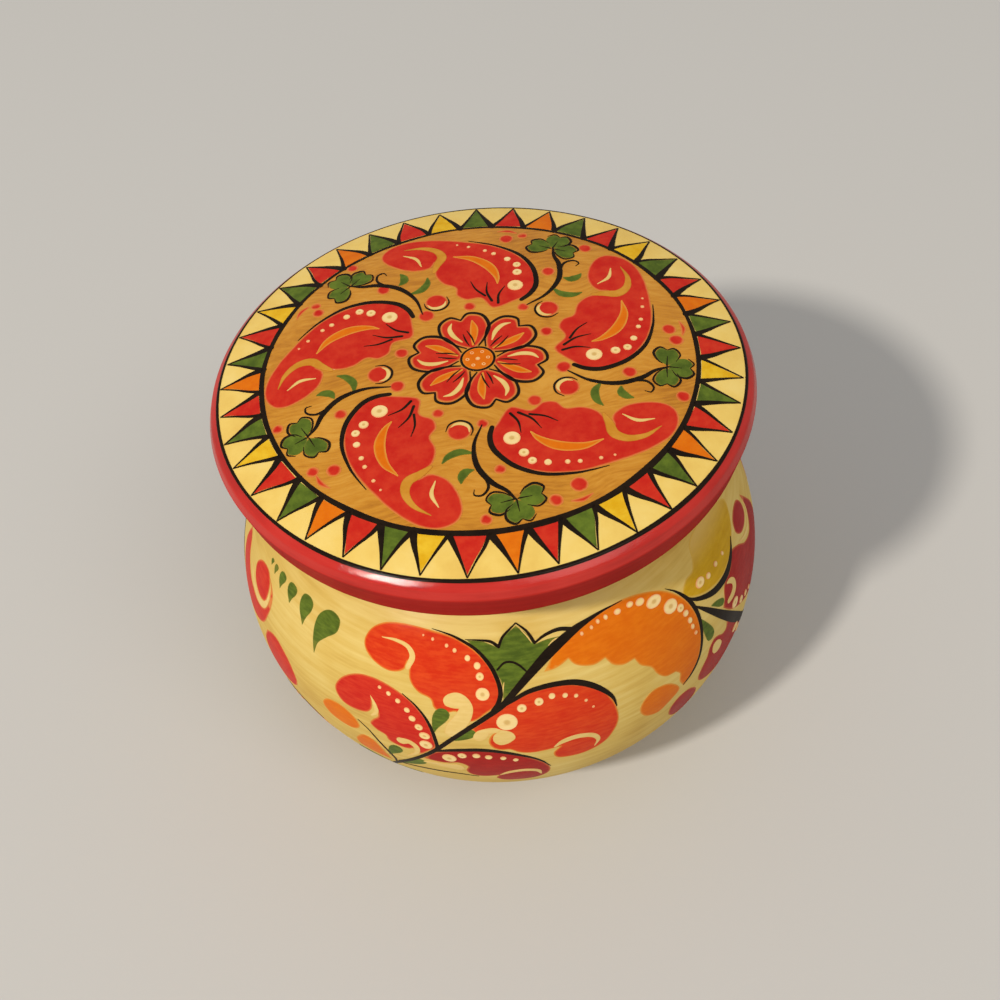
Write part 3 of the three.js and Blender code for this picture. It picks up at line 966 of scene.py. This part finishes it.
BERRY_LEAF = {
    "leaves": [
        ("crimson", [
            (44.3, 8), (45.3, 9.2), (46, 10.9), (47.2, 11.9), (48.8, 12.1), (50.6, 12.7), (52.6, 14.2),
            (55.5, 13), (58.5, 10.6), (62.4, 9.6), (65, 11.8), (65.9, 15.6), (67.6, 13), (70, 8.4),
            (70.2, 4), (67.6, 0.8), (63, -1.2), (58.3, -1.8), (52.3, 1.2), (46.4, 5.4),
        ], (0, 11)),
        ("crimson", [(56.9, 14.8), (58, 16.6), (61, 17.3), (63.6, 16.7), (64.5, 15), (63.8, 13.2),
                     (61.4, 12.4), (58.4, 13)]),
        ("crimson", [
            (35.3, -2), (36.2, -0.2), (37.7, 1.5), (38.4, 3), (39.9, 4.1), (41.5, 3.6), (42.8, 2.6),
            (44.1, 2.6), (44.6, 4.3), (47, 2), (49.4, -0.8), (51.8, -4), (53.2, -7.6), (52.6, -10.4),
            (50.4, -11.2), (47.4, -10.6), (43, -8.6), (38.2, -6), (35.7, -3.8),
        ], (8,)),
        ("cream", [(42.1, 1.6), (41, 2.8), (39.8, 2.8), (39.3, 1.4), (40, -0.1), (41.5, -0.5), (42.4, 0.4)]),
        ("crimson", [(28.4, -7.6), (28.4, -4.9), (30.2, -3.1), (32.8, -3.3), (35.2, -5.8), (35.8, -9.2),
                     (34.3, -12.6), (31.4, -11.8)]),
    ],
    "cream": [
        [(56.4, 12.8, 0.15), (59.2, 11.4, 0.7), (62.6, 10.9, 0.9), (65.1, 12.6, 0.6), (65.6, 14.6, 0.15)],
        [(47.4, 11.2, 0.3), (48.5, 10.8, 1), (49.5, 9.7, 1.3), (49.2, 8.3, 1.5), (47.9, 7.7, 1.4),
         (46.4, 7.7, 1)],
    ],
    "drops": [(48.3, 5.3, 1.3, 1), (50.9, 3.2, 0.85, 0.75), (53.4, 2.1, 0.65), (55.8, 1, 0.5),
              (48.2, -1.8, 1.2, 1), (50.2, -4.4, 0.8), (51.5, -6.8, 0.6)],
}
FAR_LEAF = {
    "leaves": [
        ("red", [(-57.4, 16.9), (-55.1, 15.2), (-54.5, 13.2), (-55, 10.2), (-57, 6.2), (-62, 3.6),
                 (-67.5, 4.2), (-71.5, 7.8), (-73.2, 12.5), (-72.4, 16.6), (-70.2, 15.5), (-68, 12.6),
                 (-64.5, 10), (-60, 8.9), (-56.7, 10.2), (-55.5, 13.2), (-55.9, 15)], (0, 9)),
        ("red", [(-64, 15.2), (-62.4, 17.1), (-58.9, 17.6), (-56.9, 16), (-56.5, 13.6), (-57.1, 11.6),
                 (-59.6, 10.9), (-62.8, 12.3)]),
        ("red", [(-55.4, 5.8), (-53.4, 7), (-51.4, 7.3), (-49.5, 6.6), (-47, 4.5), (-45.7, 0.6),
                 (-47.5, -2.6), (-52, -3.6), (-56, -1.4), (-56.6, 2.4)], (0,)),
    ],
    "cream": [
        [(-65.8, 13.4, 0.2), (-63.2, 11.2, 1.2), (-60, 9.9, 1.6), (-57.4, 10.5, 1.4), (-56.2, 12.2, 0.9),
         (-56, 14.8, 0.15)],
    ],
}
LOW_SPRIG = {
    "black": [
        [(-9.6, 9.6, 0.2), (-7.1, 7.1, 0.7), (-4.6, 4.4, 0.8), (-0.4, 0.4, 0.8), (3, -3.2, 0.8),
         (6.2, -6.6, 0.8), (7.6, -10.6, 0.7), (7.4, -15.2, 0.12)],
    ],
    "green": [
        [(5.6, -7, 0.2), (3.6, -7.6, 1.4), (1.2, -8, 2.2), (-0.4, -7.8, 2.2)],
        [(7.5, -11, 0.2), (5.6, -12.2, 1.4), (3.2, -13, 2.2), (1.7, -13.2, 2.1)],
        [(2.6, -3.2, 0.2), (0.8, -3.6, 1.2), (-1.2, -3.6, 1.9), (-2.4, -3.3, 1.9)],
    ],
}

# The leaves of the green row: an outline in shares of the leaf's width and height, and its corner at the tail
GREEN_DROP = ([
    (0.05, 0.79), (0.28, 0.95), (0.59, 1), (0.95, 0.92), (0.97, 0.7), (0.6, 0.47), (0.31, 0.26), (0.22, 0),
    (0.07, 0.29), (0, 0.58),
], (7,))
GREEN_LEAFLET = ([
    (0.08, 0.93), (0.35, 1), (0.7, 0.98), (0.97, 0.86), (1, 0.64), (0.8, 0.34), (0.67, 0), (0.48, 0.16),
    (0.19, 0.38), (0.04, 0.58), (0, 0.76),
], (6,))

# The left edge, the tail's end, the width and the height of the drop and of each leaflet after it
GREEN_ROW = (
    (-41.6, 12.4, 5.7, 9.6), (-47, 15.8, 3.6, 5.7), (-51.6, 17.2, 3, 3.7),
    (-55.2, 17.6, 2.4, 3.1), (-57.7, 18.5, 1.4, 1.8), (-59.6, 19, 1.1, 1.2),
)

# A spray's motifs as they are painted, and where each spray lies along the belly with its swapped colours
SPRAY = (
    ORANGE_FAN, CRIMSON_COMMA, SCARLET_COMMA, SEPAL, SCARLET_ROUND,
    LOW_COMMA, ORANGE_COMMA, SMALL_GREENS, STEM,
)
SPRAYS = ((0, {}), (112, {"orange": "yellow", "crimson": "scarlet"}), (188, {"scarlet": "crimson"}))

# The single leaves between the sprays: each one's motif, swapped colours and place
SINGLE_LEAVES = (
    (YELLOW_LEAF, {}, {}),
    (BERRY_LEAF, {}, {}),
    (ORANGE_COMMA, {}, {"to": (94, -14)}),
    (FAR_LEAF, {}, {}),
    (YELLOW_LEAF, {}, {"centre": (37, 17), "to": (223.8, 17), "scale": 0.6}),
    (LOW_SPRIG, {}, {"to": (243.4, -5.9)}),
    (LOW_COMMA, {"crimson": "scarlet"}, {"centre": (-16, -1), "to": (250.4, -13), "turn": 32, "scale": 0.8}),
)


def paint_bowl():
    """Three sprays round the bowl, with some colours swapped towards the back, and leaves between them."""
    coats = new_coats("bowl", side)
    for along, colours in SPRAYS:
        for motif in SPRAY:
            paint_motif(coats, motif, colours, to=(along, 0))
    for motif, colours, place in SINGLE_LEAVES:
        paint_motif(coats, motif, colours, **place)
    for k, (x, y, wide, tall) in enumerate(GREEN_ROW):
        outline, corners = GREEN_LEAFLET if k else GREEN_DROP
        coats["green"].leaf(np.array(outline) * (wide, tall) + (x, y), corners)
    make_coats(coats, "bowl", "bowl_lacquered_wood")


paint_bowl()


# Where the teeth of the lid's border point, in degrees: as the hand spaced them on the right and on the left,
# and evenly at the back
RIGHT_TEETH = (272.8, 280.9, 289.2, 298, 307, 314.9, 322.9, 331.6, 340.3, 348, 357.4, 366.1, 373.8, 382)
LEFT_TEETH = (519.1, 528.1, 536, 544.8, 553.3, 560.8, 570, 579.5, 587.7, 597.1, 605.6, 613.6, 622.9)
TOOTH_STEP = 9.14
FAR_TEETH = tuple(RIGHT_TEETH[-1] + TOOTH_STEP * n for n in range(1, 15))
TOOTH_ANGLES = RIGHT_TEETH + FAR_TEETH + LEFT_TEETH
TOOTH_COLOURS = ("orange", "red", "green", "yellow", "red", "green")

# A tooth's side from its foot up: each radius, and the share there of the way from its middle to the next
# tooth. The colour lies inside the black line.
COLOUR_SIDE = ((37.6, 0.86), (39.5, 0.53), (41.9, 0.215))
LINE_SIDE = ((37.3, 1), (39.5, 0.62), (41.9, 0.29))

# The line's widths up each side and at its tip, and how far the line runs over the tip and the colour stays
# under it
SIDE_WIDTHS = ((1.25, 0.9, 0.5), (0.85, 0.62, 0.38))
TIP_WIDTH = 0.22
LINE_OVER_TIP = 0.2
COLOUR_UNDER_TIP = 0.35

# The teeth's tips, how much lower the hand draws them, how it swells their sides and how heavy it makes them
TOOTH_TIP = 44.5
LOWER_TIPS = (0, 0.35)
BULGES = (0.9, 1.25)
HEAVINESS = (0.8, 1.15)


def tooth_side(side, middle, gap, bulge):
    """Points up a tooth's side, which bulges between its foot and its tip."""
    return [polar(r, middle + gap * share * (bulge if k else 1)) for k, (r, share) in enumerate(side)]


def paint_border(coats):
    """The lid's border: coloured teeth with hollow sides between two black rings."""
    draw = random.Random(41)
    count = len(TOOTH_ANGLES)
    for i, middle in enumerate(TOOTH_ANGLES):
        before = TOOTH_ANGLES[i - 1] - (0 if i else 360)
        after = TOOTH_ANGLES[(i + 1) % count] + (360 if i == count - 1 else 0)
        gaps = ((before - middle) / 2, (after - middle) / 2)
        tip = TOOTH_TIP - draw.uniform(*LOWER_TIPS)
        bulges = [draw.uniform(*BULGES) for _ in gaps]
        up, down = [tooth_side(COLOUR_SIDE, middle, gap, bulge) for gap, bulge in zip(gaps, bulges)]
        outline = [*up, polar(tip - COLOUR_UNDER_TIP, middle), *reversed(down)]
        corners = (0, len(up), 2 * len(up))
        coats[TOOTH_COLOURS[i % len(TOOTH_COLOURS)]].leaf(outline, corners, soft=False)
        for gap, bulge, widths in zip(gaps, bulges, SIDE_WIDTHS):
            heavy = draw.uniform(*HEAVINESS)
            path = [(*p, w * heavy) for p, w in zip(tooth_side(LINE_SIDE, middle, gap, bulge), widths)]
            coats["black"].stroke([*path, (*polar(tip + LINE_OVER_TIP, middle), TIP_WIDTH)])
    coats["black"].ring(MEDALLION_RADIUS, width=0.8, wobble=0.1, seed=5, front=0.22)
    coats["black"].ring(BORDER_RADIUS + 0.1, width=0.44, wobble=0.08, seed=8, front=0.2)


PETAL = {
    "leaves": [
        ("red", [(0, 2.4), (2.1, 4.2), (3.7, 7), (3.3, 9.7), (1.4, 10.6), (0, 9.6), (-1.4, 10.6),
                 (-3.3, 9.7), (-3.7, 7), (-2.1, 4.2)], (0, 5)),
    ],
    "orange": [[(0.2, 3.4, 0.3), (0.9, 5.2, 1.1), (1.5, 7.2, 1.3), (1.7, 9, 0.3)]],
    "cream": [[(-1.2, 4.6, 0.2), (-2.2, 6.6, 0.8), (-2.3, 8.4, 0.7), (-1.6, 9.6, 0.15)]],
    "black": [
        [(1, 2.9, 0.2), (2.6, 4.5, 0.45), (4, 7, 0.6), (3.6, 9.9, 0.5), (1.5, 11, 0.45), (0, 9.8, 0.3)],
        [(-1, 2.9, 0.2), (-2.6, 4.5, 0.3), (-4, 7, 0.4), (-3.6, 9.9, 0.5), (-1.5, 11, 0.45), (0, 9.8, 0.3)],
        [(-0.4, 3.4, 0.1), (-0.6, 4.8, 0.3), (-0.6, 6.4, 0.1)],
        [(0.5, 3.4, 0.1), (0.5, 5.2, 0.3), (0.2, 7, 0.1)],
    ],
}
BERRY = {
    "leaves": [
        ("red", [(2.7, 0), (1.9, 1.9), (0, 2.7), (-1.9, 1.9), (-2.7, 0), (-1.9, -1.9), (0, -2.7),
                 (1.9, -1.9)]),
    ],
    "cream": [
        [(-2.2, 0.6, 0.15), (-2.1, -1, 0.75), (-0.8, -2.1, 0.95), (0.8, -2.1, 0.7), (1.9, -1.2, 0.15)],
    ],
    "black": [
        [(-2.5, 1.6, 0.1), (-3, 0, 0.35), (-2.2, -2.1, 0.5), (0, -3.1, 0.5), (2.2, -2.1, 0.4), (3, 0, 0.1)],
    ],
}
TREFOIL = {
    "leaves": [
        ("green", [(0, 0.4), (2.1, 1.9), (2.6, 4.1), (1.3, 5.4), (0, 4.8), (-1.3, 5.4), (-2.6, 4.1),
                   (-2.1, 1.9)], (0, 4)),
        ("green", [(-0.4, 0.2), (-1.4, 1.8), (-3.6, 2.6), (-5.2, 1.6), (-4.8, 0.3), (-5.4, -1), (-4, -2.1),
                   (-1.8, -1.4)], (0, 4)),
        ("green", [(0.4, 0.2), (1.8, -1.4), (4, -2.1), (5.4, -1), (4.8, 0.3), (5.2, 1.6), (3.6, 2.6),
                   (1.4, 1.8)], (0, 4)),
    ],
    "black": [
        [(0.9, 1.2, 0.1), (2.5, 2.3, 0.35), (2.9, 4.3, 0.55), (1.4, 5.7, 0.45), (0, 4.9, 0.15)],
        [(0, 4.9, 0.15), (-1.4, 5.7, 0.35), (-2.8, 4.5, 0.1)],
        [(-1.7, 2.1, 0.1), (-3.8, 2.9, 0.35), (-5.5, 1.6, 0.4), (-4.9, 0.3, 0.15)],
        [(-4.9, 0.3, 0.15), (-5.7, -1.2, 0.45), (-4.1, -2.5, 0.55), (-2, -1.8, 0.35), (-0.9, -0.7, 0.1)],
        [(0.9, -0.7, 0.1), (2, -1.8, 0.3), (4.1, -2.5, 0.4), (5.6, -1.1, 0.3), (4.9, 0.3, 0.15)],
        [(4.9, 0.3, 0.15), (5.6, 1.7, 0.45), (3.8, 3, 0.5), (1.7, 2.2, 0.1)],
        [(0, 0.3, 0.4), (0.1, 3.2, 0.1)],
        [(-0.3, 0.2, 0.35), (-3.1, 0.3, 0.1)],
        [(0.3, 0.2, 0.35), (3.1, 0.3, 0.1)],
    ],
}
TENDRIL = {
    "black": [
        [(9.6, 12.2, 0.2), (13.4, 14.6, 0.6), (16, 18.4, 0.95), (16.5, 22.6, 0.9), (15.9, 25.4, 0.6),
         (16, 27.4, 0.35)],
        [(16.4, 20.8, 0.6), (17.6, 22.9, 0.45), (19.3, 23.3, 0.35), (20.1, 22.4, 0.25), (19.4, 21.6, 0.1)],
    ],
    "green": [
        [(16.8, 18.6, 0.2), (18.1, 18, 1.5), (19.3, 18.4, 1.3), (20.1, 19.3, 0.2)],
        [(14.6, 16, 0.2), (16, 14.2, 1.4), (18, 13.6, 1.2), (19.6, 14, 0.2)],
    ],
    "red": [[(10, 33.6, 0.3), (8.4, 34.6, 0.9), (6.4, 34.8, 0.2)]],
}
DAB = {
    "leaves": [
        ("red", [(1.3, 0), (0.8, 1.1), (-0.2, 1.4), (-1.2, 0.8), (-1.4, -0.3), (-0.6, -1.2), (0.6, -1.1)]),
    ],
}
MEDALLION_COMMA = {
    "leaves": [("red", *SCARLET_COMMA["leaves"][0][1:])],
    "ochre": [[(-20, 16.4, 0.6), (-19.9, 18.3, 1.3), (-19.6, 20.3, 1.6), (-20.8, 21.9, 1.3),
               (-23.4, 22.6, 0.8), (-26.4, 22, 0.15)]],
    "orange": [[
        (-17.8, 20.6, 0.2), (-14.6, 20.4, 1.3), (-11.4, 18.6, 1.7), (-9.6, 16, 0.9), (-9.2, 14.4, 0.2),
    ]],
    "cream": [[(-22.4, 17.6, 0.15), (-23.8, 19.6, 0.6), (-26.2, 20.4, 0.15)]],
    "black": [
        *SCARLET_COMMA["black"],
        [(-8.2, 9.8, 0.45), (-8.5, 11.8, 0.35), (-7.9, 14, 0.1)],
        [(-9.3, 10.2, 0.45), (-10.5, 12.2, 0.35), (-10.9, 14.6, 0.1)],
        [(-10.6, 11.3, 0.4), (-12.4, 12.7, 0.3), (-13.6, 14.5, 0.1)],
    ],
    "drops": SCARLET_COMMA["drops"],
}

# The flower in the middle: how many petals it has, and where its heart's outline and the dots on it lie
PETALS = 6
HEART_RADIUS = 2.8
DOT_RADIUS = 1.75

# What each lobe of the whirl round the flower holds: a motif and its own centre, its radius and angle on the
# lid, its turn and its scale
LOBES = 5
LOBE = (
    (MEDALLION_COMMA, (-17, 17), 24.2, 96, 344, 1.12),
    (TENDRIL, (0, 0), 0, 0, 0, 1),
    (TREFOIL, (0, 0), 31.6, 60, -28, 0.82),
    (BERRY, (0, 0), 16.9, 39, -40, 0.74),
)

# The radius, angle and scale of each loose dab in a lobe, and how far the hand strays from them
DABS = (
    (34.4, 71, 0.8), (35.3, 51.5, 0.8), (32.8, 76, 0.9),
    (25.8, 55.5, 0.8), (13.7, 20, 0.8), (14.9, 53, 0.9),
)
DAB_STRAY = 0.6
DAB_SWING = 2
DAB_SCALES = (0.85, 1.2)


def paint_medallion(coats):
    """The lid's middle: comma leaves that whirl round a flower, with berries, trefoils and dabs between."""
    for k in range(PETALS):
        paint_motif(coats, PETAL, turn=360 / PETALS * k + 12, scale=1.06)
    coats["orange"].drop(0, 0, 2 * HEART_RADIUS, 2 * HEART_RADIUS)
    coats["black"].stroke([(*polar(HEART_RADIUS, angle), 0.45) for angle in range(0, 380, 20)])
    for k in range(PETALS + 1):
        coats["drops"].drop(*polar(DOT_RADIUS if k else 0, 360 / PETALS * k), wide=0.8, tall=0.8)
    draw = random.Random(12)
    for k in range(LOBES):
        start = 360 / LOBES * k
        for motif, centre, radius, angle, turn, scale in LOBE:
            spot = polar(radius, start + angle)
            paint_motif(coats, motif, centre=centre, to=spot, turn=start + turn, scale=scale)
        for radius, angle, size in DABS:
            radius += draw.uniform(-DAB_STRAY, DAB_STRAY)
            spot = polar(radius, start + angle + draw.uniform(-DAB_SWING, DAB_SWING))
            turn = draw.uniform(0, 360)
            paint_motif(coats, DAB, to=spot, turn=turn, scale=size * draw.uniform(*DAB_SCALES))


def paint_lid():
    """The ornament on the lid's top."""
    coats = new_coats("lid", top)
    paint_border(coats)
    paint_medallion(coats)
    make_coats(coats, "lid", "lid_lacquered_wood")


paint_lid()


# The camera, the light and the floor

# Each lamp's name, the way to it and its height in degrees, its distance and size in metres, power and colour
LAMPS = (
    ("key", 221, 44, 2.5, 0.22, 42, (1, 0.95, 0.88)),
    ("fill", 305, 52, 2.5, 1.4, 12, (1, 0.98, 0.95)),
)

# The colour that the floor fades into far behind the jar, and how far the floor reaches, in metres
PALE = "#d6d3cd"
FLOOR_REACH = 3


def look(place, yaw, pitch, roll):
    """A camera's matrix from its place in metres, and its yaw, downward pitch and roll in radians."""
    turns = ((-yaw, "Z"), (QUARTER - pitch, "X"), (roll, "Z"))
    matrix = Matrix.Translation(place)
    for angle, axis in turns:
        matrix = matrix @ Matrix.Rotation(angle, 4, axis)
    return matrix


camera = new_object("camera", bpy.data.cameras.new("camera"))
camera.data.sensor_width = 36
camera.data.lens = 50.4
camera.matrix_world = look(place=(0, -0.174, 0.2426), yaw=0.00552, pitch=0.85202, roll=-0.11606)
bpy.context.scene.camera = camera
bpy.context.scene.view_settings.view_transform = "Standard"

for name, around, height, distance, size, power, colour in LAMPS:
    lamp = new_object(name, bpy.data.lights.new(name, "AREA"))
    lamp.data.shape = "DISK"
    lamp.data.size = size
    lamp.data.energy = power
    lamp.data.color = colour
    across, up = polar(1, height)
    towards = Vector((*polar(across, around), up))
    lamp.location = towards * distance + Vector((0, 0, BELLY_HEIGHT * MM))
    lamp.rotation_euler = towards.to_track_quat("Z", "Y").to_euler()

world = bpy.data.worlds.new("room")
tree = empty_tree(world)
soft = add(tree, "Background", {"Color": srgb("#f4f6fa"), "Strength": 0.42}).outputs[0]
pale = add(tree, "Background", {"Color": srgb(PALE), "Strength": 1}).outputs[0]
seen = add(tree, "LightPath").outputs["Is Camera Ray"]
add(tree, "OutputWorld", {"Surface": add(tree, "MixShader", {0: seen, 1: soft, 2: pale}).outputs[0]})
bpy.context.scene.world = world

floor_matt = bpy.data.materials.new("floor_matt")
tree = empty_tree(floor_matt)
matt = add(tree, "BsdfDiffuse", {"Color": srgb("#cac7c1")}).outputs[0]
haze = add(tree, "Emission", {"Color": srgb(PALE)}).outputs[0]
spot = add(tree, "TexCoord").outputs["Object"]
away = add(tree, "VectorMath", {0: spot}, operation="LENGTH").outputs["Value"]
fade = {"Value": away, "From Min": 0.6, "From Max": 2.2}
share = add(tree, "MapRange", fade, interpolation_type="SMOOTHSTEP").outputs[0]
add(tree, "OutputMaterial", {"Surface": add(tree, "MixShader", {0: share, 1: matt, 2: haze}).outputs[0]})

corners = [(x * FLOOR_REACH, y * FLOOR_REACH, 0) for x, y in ((-1, -1), (1, -1), (1, 1), (-1, 1))]
floor_mesh = bpy.data.meshes.new("floor")
floor_mesh.from_pydata(corners, [], [(0, 1, 2, 3)])
floor_mesh.materials.append(floor_matt)
floor = new_object("floor", floor_mesh)
